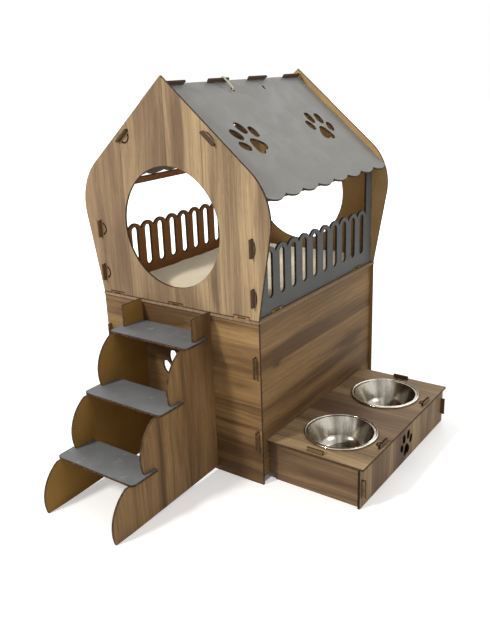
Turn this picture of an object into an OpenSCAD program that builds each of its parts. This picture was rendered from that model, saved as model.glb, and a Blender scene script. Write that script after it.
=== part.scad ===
// Cat house of laser-cut sheet: a gabled room on a base box, joined by tabs in slots,
// with a flight of three treads at the front and a low tray with two bowls at the side.
// House axes: X to the right, Y to the back, Z up, floor at Z = 0, front face at Y = 0.

/* [Sheet and tabs] */
// Thickness of every panel
sheet = 4; // [3:0.5:6]
// Clearance on each side of a tab in its slot
tab_clear = 0.2; // [0.1:0.05:0.4]
// How far a tab stands out of the panel it passes through
tab_out = 7; // [4:0.5:10]
// How much a tab widens towards its tip on each side
tab_flare = 2; // [0:0.5:3]
// Radius of the curved slit that lets the inner side of a slot spring
spring_r = 12; // [9:0.2:12.6]
// Width of a spring slit
spring_slit = 2.8; // [1.5:0.1:3]
// Solid board left between a slot and the ends of its spring slit
spring_neck = 3; // [2:0.5:4]
// How far the flat slit beside a slot near an edge bows out
strip_rise = 4.4; // [4:0.1:5]
// Solid board left between a slot and the ends of its flat slit
strip_neck = 1.8; // [1.4:0.1:2]
// Width of a flat slit
strip_slit = 2; // [1.5:0.1:2.2]
// Radius of the spring slits in the tray top
tray_spring_r = 9.8; // [8:0.2:10.5]

/* [House] */
// Width of the house over the base walls
house_w = 360; // [330:2:420]
// Depth of the house over the two gables
house_d = 434; // [410:2:500]
// Height of the base walls
base_h = 306; // [290:2:340]
// Height of the gable apex above the floor plate
gable_h = 394; // [380:2:430]
// Slope of the roof in degrees
pitch = 40.5; // [38:0.5:43]
// Lean of the lower gable edges in degrees
gable_lean = 10; // [7:0.5:12]
// Radius of the gable shoulders
shoulder_r = 105; // [80:1:115]
// Diameter of the round doors
door_d = 214; // [180:2:220]
// Height of the door centre above the floor plate
door_rise = 141.5; // [138:0.5:150]
// Height of the centre of the base door above the ground
base_door_z = 154; // [145:1:165]
// Set-back of the fences and base sides from the gable edge at floor level
side_inset = 6; // [4:0.5:10]
// Gap under the base sides
side_lift = 10; // [0:1:20]

/* [House tabs] */
// Length of the fence tabs in the gables
fence_tab = 28; // [20:1:34]
// Height of the lower fence tabs above the floor plate
fence_tab_low = 41; // [36:1:48]
// Height of the upper fence tabs above the floor plate
fence_tab_high = 125; // [110:1:135]
// Length of the roof tabs in the gables
roof_tab = 28; // [20:1:36]
// Distance of the roof tabs down the slope from the ridge
roof_tab_at = 126; // [110:1:140]
// Length of the base side tabs in the base front and back
wall_tab = 34; // [24:1:40]
// Height of the lower base side tabs above the ground
wall_tab_low = 86; // [75:1:95]
// Height of the upper base side tabs above the ground
wall_tab_high = 227; // [215:1:240]
// Length of the tabs that lock the room to the base
lock_tab = 30; // [20:1:36]
// Depth of the notches that take the tips of the lock tabs
lock_reach = 6.3; // [6:0.1:9]
// How far a lock tab of the room stands out under the floor plate
lock_in = 1; // [0.5:0.1:2]
// How far a lock tab of the base stands up from the floor plate
lock_up = 5.2; // [4:0.1:5.6]
// Length of the slit in a lock tab of the base
lock_slit = 16; // [10:1:20]
// How far the floor plate stands out in front and behind
ledge = 2; // [1:0.5:4]
// Distance of the outer lock tabs from the middle of the front
lock_x = 145; // [130:1:150]
// Distance of the gable lock tabs from the middle of the front
gable_lock_x = 72; // [60:1:84]
// Distance of the outer lock tabs from the middle of the side
lock_y = 151; // [130:1:165]

/* [Roof] */
// Depth of the roof below the gable edges, square to the slope
roof_drop = 10.6; // [8:0.2:13]
// Length of the roof from the ridge to the scallop cusps
roof_len = 265; // [250:1:280]
// Number of scallops along an eave
scallops = 8; // [6:1:10]
// Height of a scallop
scallop_h = 8; // [5:0.5:12]
// Length of a ridge tab at its neck
ridge_tab = 50; // [36:1:56]
// How much a ridge tab widens towards its tip on each side
ridge_flare = 5; // [0:0.5:6]
// How far a ridge tab stands out of the roof
ridge_out = 8; // [5:0.5:10]
// Distance between neighbouring ridge tabs
ridge_pitch = 123.5; // [110:0.5:126]
// Offset of the row of ridge tabs from the middle of the roof
ridge_off = -6; // [-10:1:10]
// Distance of the cord slots from the ridge
cord_slot_at = 25; // [20:0.5:30]
// Half the distance between the two cord slots of a slope
cord_slot_y = 50; // [40:1:60]
// Offset of the pair of cord slots from the middle of the roof
cord_slot_off = 6; // [-10:1:10]
// Length of a cord slot
cord_slot_l = 10; // [9:0.5:14]
// Width of a cord slot
cord_slot_w = 5; // [4:0.5:7]

/* [Paw prints] */
// Height of the large paw cut-outs
paw_h = 76; // [50:1:84]
// Height of the small paw cut-out in the tray front
small_paw_h = 50; // [30:1:56]
// Distance of the roof paws down the slope from the ridge
roof_paw_at = 159; // [145:1:175]
// Distance of the front roof paw from the front face
roof_paw_front = 101; // [88:1:112]
// Distance of the rear roof paw from the front face
roof_paw_rear = 333; // [318:1:346]
// How much nearer the front the paws of the left roof sit
left_paw_shift = 24; // [0:1:30]
// Turn of the front roof paw in degrees
front_paw_turn = 27; // [0:1:40]
// Turn of the rear roof paw in degrees
rear_paw_turn = 10; // [0:1:40]
// Height of the pad of the paw in the base front
base_paw_z = 166; // [150:1:180]
// Height of the pad of the small paw above the ground
small_paw_z = 22; // [16:0.5:28]
// Offset of the small paw from the middle of the tray
small_paw_y = 6; // [-20:1:20]
// Turn of the small paw in degrees
small_paw_turn = 6; // [0:1:20]

/* [Fence] */
// Number of pickets in a fence
pickets = 10; // [8:1:12]
// Height of the picket tops above the floor plate
picket_h = 118; // [112:1:124]
// Radius of the picket tops
picket_r = 21; // [20:0.5:24]
// Width of the slot in a picket
slot_w = 16; // [10:1:20]
// Height of the lower end of a slot above the floor plate
slot_low = 29; // [22:1:40]
// Height of the upper end of a slot above the floor plate
slot_high = 110; // [100:1:111]
// Width of the end posts
post_w = 25; // [18:1:34]
// Height of the underside of the top rail above the floor plate
rail_low = 193.5; // [180:0.5:196]
// Height of the top rail
rail_h = 12.5; // [8:0.5:16]

/* [Stairs] */
// Offset of the stairs from the middle of the front
stair_x = -4; // [-12:1:12]
// Width of the stairs over the stringers
stair_w = 165; // [140:1:190]
// Height of the heads of the stringers above the base walls
stair_over = 6; // [0:0.5:14]
// Depth of the head of a stringer
head_d = 50; // [40:1:60]
// Drop from the top of the base walls to the top tread
tread_drop = 35; // [28:1:38]
// Height of the bottom tread above the ground
tread_low = 89; // [84:0.5:96]
// Run from tread to tread
tread_run = 74.5; // [70:0.5:80]
// Distance of the front edge of the top tread from the house
tread_first = 79; // [77:1:86]
// Depth of a tread
tread_d = 75; // [70:0.5:77]
// Depth of the ears of a tread
ear_d = 60; // [45:1:64]
// How far the ears stand out past the stringers
ear_out = 7; // [3:0.5:10]
// Radius of the front corners of a tread
ear_r = 8; // [4:0.5:12]
// Radius of the swelling noses of a stringer
nose_r = 71; // [68:1:76]
// How far a nose swells in front of its tread
nose_out = 44; // [38:1:48]
// Drop from a tread to the widest point of its nose
nose_drop = 66; // [62:1:70]
// Length of the foot that rests on the ground
foot_l = 40; // [25:1:60]
// Height of the rear lower corner of a stringer above the ground
stair_lift = 8; // [0:0.5:12]
// Length of the stringer tabs in the base front
stair_tab = 30; // [20:1:40]
// Height of the lower stringer tabs above the ground
stair_tab_low = 60; // [45:1:75]
// Height of the upper stringer tabs above the ground
stair_tab_high = 225; // [215:1:240]

/* [Tray] */
// Depth of the tray top from the wall to its outer edge
tray_d = 190; // [176:1:210]
// Length of the tray top
tray_l = 375; // [350:1:390]
// Distance of the near edge of the tray top from the front face
tray_y = 23; // [18:0.5:34]
// Height of the tray top above the ground
tray_h = 78; // [74:1:95]
// Overhang of the tray top past its front and end panels
tray_lip = 5.5; // [2:0.5:9]
// Length of the tabs in the tray top
tray_tab = 28; // [20:1:36]
// Distance of the front panel tabs from the middle of the tray
tray_tab_y = 96; // [80:1:110]
// Length of the upright tabs of the end panels
end_tab = 30; // [20:1:36]
// Radius of the scoop in the lower corner of an end panel next to the wall
end_scoop = 14; // [8:0.5:18]
// Distance of the wall tabs of the top from the middle of the tray
wall_tab_y = 92; // [70:1:110]

/* [Bowls] */
// Diameter of a bowl over its rolled rim
bowl_d = 134; // [124:0.5:144]
// Depth of a bowl below its rim
bowl_depth = 46; // [35:1:55]
// Diameter of a bowl at its base
bowl_base_d = 84; // [72:1:92]
// Radius of the curve into the base
bowl_curve = 22; // [10:1:28]
// Wall of a bowl
bowl_wall = 1.2; // [0.8:0.1:2]
// Thickness of the rolled rim
rim_d = 3.6; // [3:0.1:5]
// Width of the rim that rests on the tray
rim_seat = 5; // [4.5:0.1:8]
// Clearance round a bowl in its hole
bowl_clear = 1; // [0.6:0.1:2]
// Distance between the bowl centres
bowl_gap = 187; // [165:1:200]
// Distance of the bowl centres from the wall
bowl_x = 99; // [85:1:108]

/* [Mat] */
// Height of the mat at its middle
mat_h = 23; // [15:1:28]
// Clearance round the mat
mat_gap = 1.5; // [0.5:0.5:4]
// How far the sides of the mat draw in between its corners
mat_draw = 5; // [0:0.5:10]
// Clearance between a loose piece and its seat
seat_gap = 0.3; // [0.2:0.1:0.5]

/* [Hidden] */
$fn = 96;

WOOD = "#a07a50";
GREY = "#94938e";
SLATE = "#5f605f";
STEEL = "#c9c9c6";
CREAM = "#e8e0cc";
CORD = "#d8cdb2";

// Levels and middle lines of the house
half_w = house_w / 2;
mid_y = house_d / 2;
floor_z = base_h + sheet;
apex_z = floor_z + gable_h;
door_z = floor_z + door_rise;
side_out = half_w - side_inset;
side_in = side_out - sheet;
side_mid = side_out - sheet / 2;
tab_root = sheet / 2;
through = sheet + tab_out;

// Gable shoulder: where slope and leaning edge would meet, and the centre of its arc
corner_x = (half_w + gable_h * tan(gable_lean)) / (1 + tan(pitch) * tan(gable_lean));
corner = [corner_x, apex_z - corner_x * tan(pitch)];
slope_out = [sin(pitch), cos(pitch)];
edge_out = [cos(gable_lean), -sin(gable_lean)];
shoulder = corner - shoulder_r * (slope_out + edge_out) / (1 + sin(pitch - gable_lean));

// Roof panels: ridge line of their outer faces, and where the left panel stops under the right one
ridge_z = apex_z - roof_drop / cos(pitch);
ridge_stop = sheet / sin(2 * pitch) + tab_clear;
roof_span = house_d - 2 * sheet;
ridge_rows = [for (k = [-1.5, -0.5, 0.5, 1.5]) mid_y + ridge_off + k * ridge_pitch];
ridge_slot = ridge_tab + 2 * (ridge_flare + tab_clear);
scallop_w = roof_span / scallops;
scallop_r = (pow(scallop_w / 2, 2) + pow(scallop_h, 2)) / (2 * scallop_h);
eave_len = roof_len + scallop_h;

// Fence spacing
picket_pitch = (roof_span - 2 * post_w) / pickets;

// Stairs
stair_left = stair_x - stair_w / 2;
stair_right = stair_x + stair_w / 2;
last_tread = 2;
stair_top = base_h + stair_over;
tread_z = base_h - tread_drop;
tread_rise = (tread_z - tread_low) / last_tread;
function tread_top_z(k) = tread_z - k * tread_rise;
function tread_front_y(k) = -tread_first - k * tread_run;
toe_y = tread_front_y(last_tread) - nose_out;

// Tray
tray_in = side_out;
tray_edge = tray_in + tray_d;
tray_face = tray_edge - tray_lip;
tray_under = tray_h - sheet;
tray_mid_y = tray_y + tray_l / 2;
near_y = tray_y + tray_lip;
far_y = tray_y + tray_l - tray_lip - sheet;
end_tab_x = tray_in + tray_d / 2;
bowl_r = bowl_d / 2;
hole_r = bowl_r - rim_seat;
cup_r = hole_r - bowl_clear;

// The origin is the middle of the whole footprint, on the ground
x_low = -max(eave_len * cos(pitch), shoulder[0] + shoulder_r);
x_high = max(tray_edge, tray_face + tab_out);
y_low = toe_y;
y_high = house_d + tab_out;
origin = [(x_low + x_high) / 2, (y_low + y_high) / 2, 0];

// Mat rings from the underside to the crown: inset from the outline and share of the height
MAT_RINGS = [[10, 0], [2, 0.16], [0, 0.45], [3, 0.78], [14, 0.93], [50, 0.98], [110, 1]];
mat_side_steps = 12;
mat_round = 10;

// Ridge cord: x, y off its slot, z above the ridge and radius, from knot to knot
cord_sides = 8;
CORD_RIGHT = [
    [10.9, 0, -25.7, 1], [11.7, 0, -24.8, 3.4], [13.7, 0, -22.5, 3.8], [15.1, 0, -20.8, 2],
    [16.4, 0, -19.3, 1.5], [19, 0, -16.2, 1.5], [20.3, 0, -14.2, 1.5], [20.2, -1, -12.4, 1.5],
    [19, -2, -10, 1.5], [14.9, -6, -3.6, 1.5],
];
CORD_TOP = [[10.8, -10, 2.6, 1.5], [9.3, -11, 5.2, 1.5], [6.3, -12, 7.2, 1.5], [3.2, -11, 5.6, 1.5]];
CORD_LEFT = [
    [-7.2, -6, -3.2, 1.5], [-17.2, -1, -12.1, 1.5], [-19.1, 0, -14, 1.5], [-19.4, 0, -15.6, 1.5],
    [-18.4, 0, -17, 1.5], [-16.4, 0, -19.3, 1.5], [-15.1, 0, -20.8, 2], [-13.7, 0, -22.5, 3.8],
    [-11.7, 0, -24.8, 3.4], [-10.9, 0, -25.7, 1],
];
CORD_ROUTE = concat(CORD_RIGHT, CORD_TOP, CORD_LEFT);
cord_y = mid_y + cord_slot_off - cord_slot_y;

// Panels drawn in a plane and stood up: facing the front, facing the side, or lying flat
module panel_front(y) {
    translate([0, y + sheet, 0]) rotate([90, 0, 0]) linear_extrude(sheet) children();
}
module panel_side(x) {
    translate([x, 0, 0]) rotate([90, 0, 90]) linear_extrude(sheet) children();
}
module panel_flat(z) {
    translate([0, 0, z]) linear_extrude(sheet) children();
}

// A tab that grows upwards from an edge at y = 0, wider at its tip
module tab(length, out, flare = tab_flare) {
    tip = length / 2 + flare;
    neck = length / 2;
    polygon([[neck, -tab_root], [neck, 0], [tip, out], [-tip, out], [-neck, 0], [-neck, -tab_root]]);
}

// The slot that takes a tab, lying along x
module slot(length, flare = tab_flare) {
    square([length + 2 * (flare + tab_clear), sheet + 2 * tab_clear], center = true);
}

// A slot whose +y or -y side springs, thanks to a curved slit beside it
module spring_slot(length, side, r = spring_r) {
    slot(length);
    translate([0, side * (sheet / 2 + tab_clear)]) intersection() {
        difference() {
            circle(r);
            circle(r - spring_slit);
        }
        translate([0, side * (spring_neck + r)])
            square([2 * r + sheet, 2 * r], center = true);
    }
}

// A slot near an edge, whose side springs thanks to a flatter slit
module strip_slot(length, side) {
    half = 0.44 * length;
    bow = strip_rise - strip_neck;
    r = (half * half + bow * bow) / (2 * bow);
    slot(length);
    translate([0, side * (sheet / 2 + tab_clear)]) intersection() {
        translate([0, side * (strip_rise - r)]) difference() {
            circle(r);
            circle(r - strip_slit);
        }
        translate([0, side * (strip_neck + length / 2)])
            square([2 * length, length], center = true);
    }
}

// The slit in a lock tab of the base
module tab_slit() {
    translate([0, sheet + lock_up / 2 - 0.4]) square([lock_slit, 1.6], center = true);
}

// An open notch in an edge at y = 0 that takes the tip of a tab from below
module notch(length, deep) {
    wide = length + 2 * (tab_flare + tab_clear);
    translate([-wide / 2, -sheet]) square([wide, sheet + deep + tab_clear]);
}

// A round-ended slot from one point up to another
module stadium(wide, low, high) {
    straight = high - low - wide;
    translate([-wide / 2, low + wide / 2]) square([wide, straight]);
    translate([0, low + wide / 2]) circle(d = wide);
    translate([0, high - wide / 2]) circle(d = wide);
}

// An oval toe along y: two side curves with blunt ends
module toe(length, wide) {
    bend = 0.76 * length;
    intersection() {
        translate([bend - wide / 2, 0]) circle(bend);
        translate([wide / 2 - bend, 0]) circle(bend);
        circle(d = length);
    }
}

// Pad of a paw: a round top and two heel lobes between long side curves
module pad() {
    bend = 40;
    translate([0, 5.5]) circle(11.5);
    for (side = [-1, 1])
        translate([side * 9, -8]) circle(9.8);
    translate([0, -6.2]) circle(9);
    intersection() {
        translate([-20.8, -14.4]) circle(bend);
        translate([20.8, -14.4]) circle(bend);
        translate([-bend, -8]) square([2 * bend, 21]);
    }
}

// Paw print with its toes towards +y, drawn 76 high about the middle of its pad
module paw(high) {
    scale(high / 76) {
        pad();
        for (side = [-1, 1]) {
            translate([side * 14.5, 40]) rotate(side * -7) toe(29, 20);
            translate([side * 31, 18]) rotate(side * -24) toe(26, 18.5);
        }
    }
}

// A point on the right slope: s down from the ridge, n out from the roof face
function slope_point(s, n) = [s * cos(pitch) + n * sin(pitch), ridge_z - s * sin(pitch) + n * cos(pitch)];

// Gable outline, drawn in x and z, with its doors, slots and lock tabs;
// springs gives the right-hand slots their flat slits
module gable_sheet(springs) {
    slope_end = shoulder + shoulder_r * slope_out;
    edge_start = shoulder + shoulder_r * edge_out;
    roof_slot = slope_point(roof_tab_at, -sheet / 2);
    difference() {
        union() {
            polygon([
                [-half_w, floor_z], [half_w, floor_z], edge_start, slope_end, [0, apex_z],
                [-slope_end[0], slope_end[1]], [-edge_start[0], edge_start[1]],
            ]);
            for (side = [-1, 1]) {
                translate([side * shoulder[0], shoulder[1]]) circle(shoulder_r);
                translate([side * gable_lock_x, floor_z]) rotate(180) tab(lock_tab, sheet + lock_in);
            }
        }
        translate([0, door_z]) circle(d = door_d);
        for (high = [fence_tab_low, fence_tab_high]) {
            translate([-side_mid, floor_z + high]) rotate(90) spring_slot(fence_tab, -1);
            translate([side_mid, floor_z + high]) rotate(90)
                if (springs) strip_slot(fence_tab, -1); else slot(fence_tab);
        }
        translate([-roof_slot[0], roof_slot[1]]) rotate(pitch) spring_slot(roof_tab, -1);
        translate(roof_slot) rotate(-pitch)
            if (springs) strip_slot(roof_tab, 1); else slot(roof_tab);
        for (x = [-lock_x, 0, lock_x])
            translate([x, floor_z]) notch(lock_tab, lock_reach);
    }
}
module front_gable() {
    color(WOOD) panel_front(0) gable_sheet(true);
}
module back_gable() {
    color(WOOD) panel_front(house_d - sheet) gable_sheet(false);
}

// Roof panel drawn with x down the slope and y along the house
module roof_sheet(top) {
    intersection() {
        translate([top, sheet]) square([eave_len - top, roof_span]);
        union() {
            translate([top, sheet]) square([roof_len - top, roof_span]);
            for (k = [0:scallops - 1])
                translate([eave_len - scallop_r, sheet + (k + 0.5) * scallop_w]) circle(scallop_r);
        }
    }
}
module roof_cuts(paw_shift) {
    for (side = [-1, 1])
        translate([cord_slot_at, mid_y + cord_slot_off + side * cord_slot_y]) rotate(90)
            stadium(cord_slot_w, -cord_slot_l / 2, cord_slot_l / 2);
    translate([roof_paw_at, roof_paw_front - paw_shift]) rotate(90 + front_paw_turn) paw(paw_h);
    translate([roof_paw_at, roof_paw_rear - paw_shift]) rotate(90 - rear_paw_turn) paw(paw_h);
}
module roof_end_tabs() {
    translate([roof_tab_at, sheet]) rotate(180) tab(roof_tab, through);
    translate([roof_tab_at, house_d - sheet]) tab(roof_tab, through);
}
module on_slope() {
    translate([0, 0, ridge_z]) rotate([0, pitch, 0])
        translate([0, 0, -sheet]) linear_extrude(sheet) children();
}
module roof_right() {
    color(GREY) on_slope() {
        difference() {
            union() {
                roof_sheet(0);
                roof_end_tabs();
            }
            roof_cuts(0);
            for (y = ridge_rows)
                translate([0, y]) square([2 * ridge_stop, ridge_slot], center = true);
        }
    }
}

// Ridge tabs, trimmed where a row ends at a gable
module ridge_tabs() {
    reach = ridge_stop + ridge_out;
    intersection() {
        for (y = ridge_rows)
            translate([ridge_stop, y]) rotate(90) tab(ridge_tab, reach, ridge_flare);
        translate([-2 * reach, sheet + tab_clear]) square([4 * reach, roof_span - 2 * tab_clear]);
    }
}
module roof_left() {
    color(GREY) mirror([1, 0, 0]) on_slope() {
        difference() {
            union() {
                roof_sheet(ridge_stop);
                roof_end_tabs();
                ridge_tabs();
            }
            roof_cuts(left_paw_shift);
        }
    }
}

// Fence drawn in y and z: rail, pickets and posts in one sheet
module fence_sheet() {
    crown_z = floor_z + picket_h - picket_r;
    difference() {
        union() {
            translate([sheet, floor_z]) square([roof_span, crown_z - floor_z]);
            for (k = [0:pickets - 1])
                translate([sheet + post_w + (k + 0.5) * picket_pitch, crown_z]) circle(picket_r);
            for (y = [sheet, house_d - sheet - post_w])
                translate([y, floor_z]) square([post_w, rail_low + rail_h]);
            translate([sheet, floor_z + rail_low]) square([roof_span, rail_h]);
            for (high = [fence_tab_low, fence_tab_high]) {
                translate([sheet, floor_z + high]) rotate(90) tab(fence_tab, through);
                translate([house_d - sheet, floor_z + high]) rotate(-90) tab(fence_tab, through);
            }
            translate([mid_y, floor_z]) rotate(180) tab(lock_tab, sheet + lock_in);
        }
        for (k = [0:pickets - 1])
            translate([sheet + post_w + (k + 0.5) * picket_pitch, floor_z])
                stadium(slot_w, slot_low, slot_high);
        for (side = [-1, 1])
            translate([mid_y + side * lock_y, floor_z]) notch(lock_tab, lock_reach);
    }
}
module fence_left() {
    color(SLATE) panel_side(-side_out) fence_sheet();
}
module fence_right() {
    color(SLATE) panel_side(side_in) fence_sheet();
}

// Floor plate between the room and the base
module house_floor() {
    color(WOOD) panel_flat(base_h) difference() {
        translate([-half_w, -ledge]) square([house_w, house_d + 2 * ledge]);
        for (x = [-lock_x, -gable_lock_x, 0, gable_lock_x, lock_x], y = [sheet / 2, house_d - sheet / 2])
            translate([x, y]) slot(lock_tab);
        for (x = [stair_left, stair_right - sheet])
            translate([x - tab_clear, -2 * ledge]) square([sheet + 2 * tab_clear, 2 * ledge]);
        for (side = [-1, 1])
            for (y = [mid_y - lock_y, mid_y, mid_y + lock_y])
                translate([side * side_mid, y]) rotate(90) slot(lock_tab);
    }
}

// Mat: one ring of points round the outline, drawn in between its corners
function mat_edge(w) = pow(1 + pow(abs(w), mat_round), -1 / mat_round);
function mat_point(i, half, inset, z) =
    let (side = floor(i / mat_side_steps), w = 2 * (i % mat_side_steps) / mat_side_steps - 1)
    let (drawn = mat_draw * (1 - w * w), f = mat_edge(w))
    let (a = half[0] - inset, b = half[1] - inset)
    let (across = [w * f * a, -f * (b - drawn)], along = [f * (a - drawn), w * f * b])
    let (p = side % 2 == 0 ? across : along)
    let (turn = side < 2 ? 1 : -1)
    [turn * p[0], turn * p[1] + mid_y, z];
module floor_mat() {
    count = 4 * mat_side_steps;
    half = [side_in - mat_gap, mid_y - sheet - mat_gap];
    low = floor_z + seat_gap;
    rings = len(MAT_RINGS);
    points = concat(
        [for (r = MAT_RINGS, i = [0:count - 1]) mat_point(i, half, r[0], low + r[1] * mat_h)],
        [[0, mid_y, low], [0, mid_y, low + mat_h]]
    );
    bottom = rings * count;
    top = bottom + 1;
    faces = concat(
        [for (r = [0:rings - 2], i = [0:count - 1]) let (j = (i + 1) % count)
            [r * count + i, (r + 1) * count + i, (r + 1) * count + j]],
        [for (r = [0:rings - 2], i = [0:count - 1]) let (j = (i + 1) % count)
            [r * count + i, (r + 1) * count + j, r * count + j]],
        [for (i = [0:count - 1]) [bottom, i, (i + 1) % count]],
        [for (i = [0:count - 1]) [top, (rings - 1) * count + (i + 1) % count, (rings - 1) * count + i]]
    );
    color(CREAM) polyhedron(points, faces);
}

// Base walls
module base_end_sheet() {
    difference() {
        union() {
            translate([-half_w, 0]) square([house_w, base_h]);
            for (x = [-lock_x, 0, lock_x])
                translate([x, base_h]) tab(lock_tab, sheet + lock_up);
        }
        for (x = [-lock_x, 0, lock_x])
            translate([x, base_h]) tab_slit();
        for (side = [-1, 1]) {
            for (high = [wall_tab_low, wall_tab_high])
                translate([side * side_mid, high]) rotate(90) slot(wall_tab);
            translate([side * gable_lock_x, base_h]) rotate(180) notch(lock_tab, lock_in);
        }
    }
}
module base_front() {
    color(WOOD) panel_front(0) difference() {
        base_end_sheet();
        for (x = [stair_left + sheet / 2, stair_right - sheet / 2], high = [stair_tab_low, stair_tab_high])
            translate([x, high]) rotate(90) slot(stair_tab);
        translate([0, base_paw_z]) paw(paw_h);
    }
}
module base_back() {
    color(WOOD) panel_front(house_d - sheet) base_end_sheet();
}
module base_side_sheet() {
    difference() {
        union() {
            translate([sheet, side_lift]) square([roof_span, base_h - side_lift]);
            for (high = [wall_tab_low, wall_tab_high]) {
                translate([sheet, high]) rotate(90) tab(wall_tab, through);
                translate([house_d - sheet, high]) rotate(-90) tab(wall_tab, through);
            }
            for (side = [-1, 1])
                translate([mid_y + side * lock_y, base_h]) tab(lock_tab, sheet + lock_up);
        }
        for (side = [-1, 1])
            translate([mid_y + side * lock_y, base_h]) tab_slit();
        translate([mid_y, base_h]) rotate(180) notch(lock_tab, lock_in);
    }
}
module base_left() {
    color(WOOD) panel_side(-side_out) difference() {
        base_side_sheet();
        translate([mid_y, base_door_z]) circle(d = door_d);
    }
}
module base_right() {
    color(WOOD) panel_side(side_in) difference() {
        base_side_sheet();
        for (y = [near_y, far_y])
            translate([y + sheet / 2, tray_under / 2]) rotate(90) slot(end_tab);
        for (side = [-1, 1])
            translate([tray_mid_y + side * wall_tab_y, tray_h - sheet / 2]) slot(tray_tab);
    }
}

// Stringer drawn in y and z: head, three noses, open slots for the treads
module stringer_sheet() {
    back = 0;
    difference() {
        union() {
            translate([-head_d, tread_z]) square([head_d, stair_top - tread_z]);
            for (k = [0:last_tread]) {
                low = k == last_tread ? 0 : tread_top_z(k + 1);
                tall = tread_top_z(k) - low;
                centre = tread_front_y(k) + nose_r - nose_out;
                translate([centre, low]) square([back - centre, tall]);
                intersection() {
                    translate([centre, tread_top_z(k) - nose_drop]) circle(nose_r);
                    translate([centre - nose_r, low]) square([nose_r, tall]);
                }
            }
            for (high = [stair_tab_low, stair_tab_high])
                translate([back, high]) rotate(-90) tab(stair_tab, through);
        }
        for (k = [0:last_tread]) {
            front = toe_y - sheet;
            slot_end = tread_front_y(k) + ear_d + tab_clear;
            translate([front, tread_top_z(k) - sheet - tab_clear])
                square([slot_end - front, sheet + 2 * tab_clear]);
        }
        polygon([[toe_y + foot_l, -sheet], [back, -sheet], [back, stair_lift], [toe_y + foot_l, 0]]);
    }
}
module stringer_left() {
    color(WOOD) panel_side(stair_left) stringer_sheet();
}
module stringer_right() {
    color(WOOD) panel_side(stair_right - sheet) stringer_sheet();
}

// Tread drawn from above: ears in front, a narrower rear between the stringers
module tread(k) {
    half_ear = stair_w / 2 + ear_out;
    half_rear = stair_w / 2 - sheet - tab_clear;
    color(GREY) panel_flat(tread_top_z(k) - sheet) translate([stair_x, tread_front_y(k)]) {
        translate([-half_ear + ear_r, 0]) square([2 * (half_ear - ear_r), ear_d]);
        translate([-half_ear, ear_r]) square([2 * half_ear, ear_d - ear_r]);
        translate([-half_rear, 0]) square([2 * half_rear, tread_d]);
        for (side = [-1, 1])
            translate([side * (half_ear - ear_r), ear_r]) circle(ear_r);
    }
}
module tread_top() {
    tread(0);
}
module tread_middle() {
    tread(1);
}
module tread_bottom() {
    tread(last_tread);
}

// Tray: a top with two round holes on a front and two end panels
module tray_top() {
    color(WOOD) panel_flat(tray_under) difference() {
        union() {
            translate([tray_in, tray_y]) square([tray_d, tray_l]);
            for (side = [-1, 1])
                translate([tray_in, tray_mid_y + side * wall_tab_y]) rotate(90) tab(tray_tab, through);
        }
        for (side = [-1, 1]) {
            translate([tray_in + bowl_x, tray_mid_y + side * bowl_gap / 2]) circle(hole_r);
            translate([tray_face - sheet / 2, tray_mid_y + side * tray_tab_y]) rotate(90)
                spring_slot(tray_tab, 1, tray_spring_r);
        }
        translate([end_tab_x, near_y + sheet / 2]) slot(tray_tab);
        translate([end_tab_x, far_y + sheet / 2]) spring_slot(tray_tab, -1, tray_spring_r);
    }
}
module tray_front() {
    color(WOOD) panel_side(tray_face - sheet) difference() {
        union() {
            translate([tray_y, 0]) square([tray_l, tray_under]);
            for (side = [-1, 1])
                translate([tray_mid_y + side * tray_tab_y, tray_under]) tab(tray_tab, through);
        }
        for (y = [near_y, far_y])
            translate([y + sheet / 2, tray_under / 2]) rotate(90) slot(end_tab);
        translate([tray_mid_y + small_paw_y, small_paw_z]) rotate(small_paw_turn) paw(small_paw_h);
    }
}
module tray_end_sheet() {
    inner = tray_face - sheet;
    difference() {
        translate([tray_in, 0]) square([inner - tray_in, tray_under]);
        translate([tray_in, 0]) circle(end_scoop);
    }
    translate([end_tab_x, tray_under]) tab(tray_tab, through);
    translate([inner, tray_under / 2]) rotate(-90) tab(end_tab, through);
    translate([tray_in, tray_under / 2]) rotate(90) tab(end_tab, through);
}
module tray_end_near() {
    color(WOOD) panel_front(near_y) tray_end_sheet();
}
module tray_end_far() {
    color(WOOD) panel_front(far_y) tray_end_sheet();
}

// Half profile of a cup: straight sides, a curve into a flat base
module cup_profile(top_r, base_r, depth, curve) {
    side = [top_r - base_r, depth] / norm([top_r - base_r, depth]);
    centre = [base_r + curve * (side[0] - 1) / side[1], curve - depth];
    polygon([
        [0, -depth], [centre[0], -depth], centre + curve * [side[1], -side[0]], [top_r, 0], [0, 0],
    ]);
    translate(centre) circle(curve);
}
module bowl(y) {
    rim_r = rim_d / 2;
    base_r = bowl_base_d / 2;
    lip_z = tray_h + seat_gap + rim_r;
    color(STEEL) translate([tray_in + bowl_x, y, lip_z]) rotate_extrude() {
        difference() {
            union() {
                cup_profile(cup_r, base_r, bowl_depth, bowl_curve);
                translate([0, -bowl_wall / 2]) square([bowl_r - rim_r, bowl_wall]);
            }
            translate([0, bowl_wall])
                cup_profile(cup_r - bowl_wall, base_r - bowl_wall, bowl_depth, bowl_curve - bowl_wall);
            square([cup_r - bowl_wall, bowl_wall]);
        }
        translate([bowl_r - rim_r, 0]) circle(rim_r);
    }
}
module bowl_near() {
    bowl(tray_mid_y - bowl_gap / 2);
}
module bowl_far() {
    bowl(tray_mid_y + bowl_gap / 2);
}

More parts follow.
